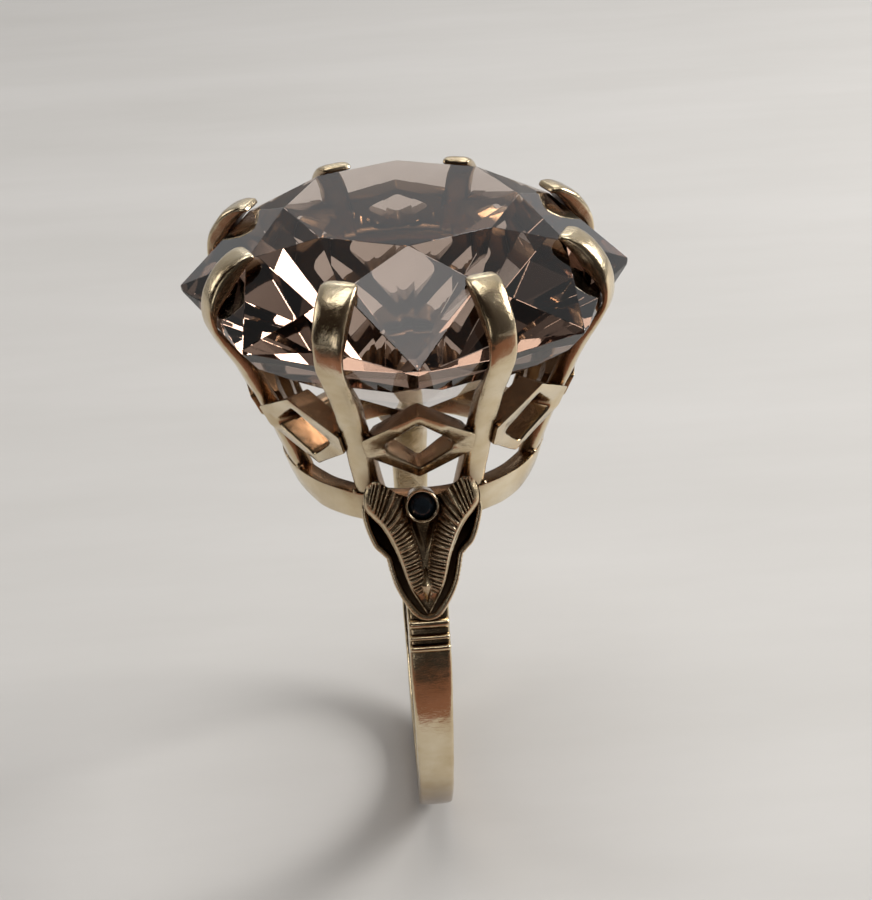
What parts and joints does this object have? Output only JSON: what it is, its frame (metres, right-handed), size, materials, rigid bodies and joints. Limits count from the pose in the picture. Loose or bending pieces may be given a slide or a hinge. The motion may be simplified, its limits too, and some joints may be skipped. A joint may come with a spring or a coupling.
{
  "type": "cocktail ring",
  "caption": "Gold cocktail ring with a large faceted smoky quartz in a claw-set openwork basket, engraved heart-shaped shoulders with small blue stones, and a slim band.",
  "frame": {"origin": "centre of the finger hole", "axes": "+X along the finger, +Z from the finger hole up to the large stone, -Y towards the front shoulder"},
  "size_m": [0.0198, 0.0198, 0.0305],
  "materials": {
    "gold": "worn polished pale yellow gold with fine scratches and dark recesses",
    "smoky_quartz": "clear polished facets, pinkish brown smoky quartz",
    "blue_stone": "polished facets, very dark blue stone"
  },
  "bodies": {
    "root": {"smoky_quartz": "smoky_quartz", "claw_1": "gold", "claw_2": "gold", "claw_3": "gold", "claw_4": "gold", "claw_5": "gold", "claw_6": "gold", "claw_7": "gold", "claw_8": "gold", "gallery_frame_1": "gold", "gallery_frame_2": "gold", "gallery_frame_3": "gold", "gallery_frame_4": "gold", "gallery_frame_5": "gold", "gallery_frame_6": "gold", "gallery_frame_7": "gold", "gallery_frame_8": "gold", "base_rail": "gold", "shank": "gold", "shoulder_shield_front": "gold", "shoulder_leaf_front": "gold", "bezel_front": "gold", "accent_stone_front": "blue_stone", "shoulder_shield_back": "gold", "shoulder_leaf_back": "gold", "bezel_back": "gold", "accent_stone_back": "blue_stone"}
  },
  "joints": []
}
